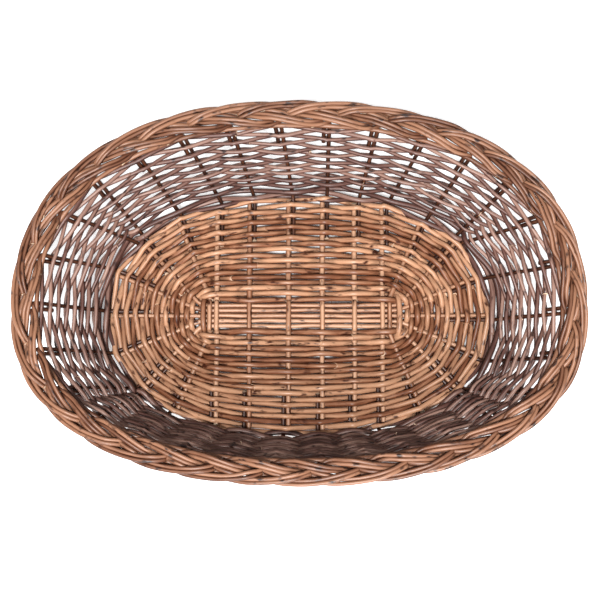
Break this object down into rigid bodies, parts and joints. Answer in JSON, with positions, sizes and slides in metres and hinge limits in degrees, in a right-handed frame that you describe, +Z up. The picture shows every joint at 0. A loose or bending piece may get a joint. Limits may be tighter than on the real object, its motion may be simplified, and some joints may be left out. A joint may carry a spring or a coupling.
{
  "type": "woven fruit basket",
  "caption": "Open oval willow basket with a woven stick base, flared openwork wall and plaited rim, for fruit or bread.",
  "frame": {"origin": "on the floor, under the middle of the oval base", "axes": "+X along the basket's length, +Y to its back, where the wall flares most, +Z up out of its mouth"},
  "size_m": [0.4485, 0.3016, 0.0958],
  "materials": {
    "base_stick": "round willow rod, bark on, slightly glossy",
    "base_weaver": "thin willow rod, warm brown, satin",
    "stake": "round willow rod, warm brown, satin",
    "wall_weaver": "thin willow rod, greyed brown, satin"
  },
  "bodies": {
    "root": {"base_long_stick_1": "base_stick", "base_long_stick_2": "base_stick", "base_long_stick_3": "base_stick", "base_long_stick_4": "base_stick", "base_long_stick_5": "base_stick", "base_cross_stick_1": "base_stick", "base_cross_stick_2": "base_stick", "base_cross_stick_3": "base_stick", "base_cross_stick_4": "base_stick", "base_cross_stick_5": "base_stick", "base_cross_stick_6": "base_stick", "base_cross_stick_7": "base_stick", "base_cross_stick_8": "base_stick", "base_weaver_1": "base_weaver", "base_weaver_2": "base_weaver", "base_weaver_3": "base_weaver", "base_weaver_4": "base_weaver", "base_weaver_5": "base_weaver", "base_weaver_6": "base_weaver", "side_stake_01": "stake", "side_stake_02": "stake", "side_stake_03": "stake", "side_stake_04": "stake", "side_stake_05": "stake", "side_stake_06": "stake", "side_stake_07": "stake", "side_stake_08": "stake", "side_stake_09": "stake", "side_stake_10": "stake", "side_stake_11": "stake", "side_stake_12": "stake", "side_stake_13": "stake", "side_stake_14": "stake", "side_stake_15": "stake", "side_stake_16": "stake", "side_stake_17": "stake", "side_stake_18": "stake", "side_stake_19": "stake", "side_stake_20": "stake", "side_stake_21": "stake", "side_stake_22": "stake", "side_stake_23": "stake", "side_stake_24": "stake", "side_stake_25": "stake", "side_stake_26": "stake", "side_stake_27": "stake", "side_stake_28": "stake", "side_stake_29": "stake", "side_stake_30": "stake", "bye_stakes": "stake", "upsett_wale": "wall_weaver", "wall_weaver_1": "wall_weaver", "wall_weaver_2": "wall_weaver", "wall_weaver_3": "wall_weaver", "wall_weaver_4": "wall_weaver", "wall_weaver_5": "wall_weaver", "wall_weaver_6": "wall_weaver", "wall_weaver_7": "wall_weaver", "wall_weaver_8": "wall_weaver"}
  },
  "joints": []
}
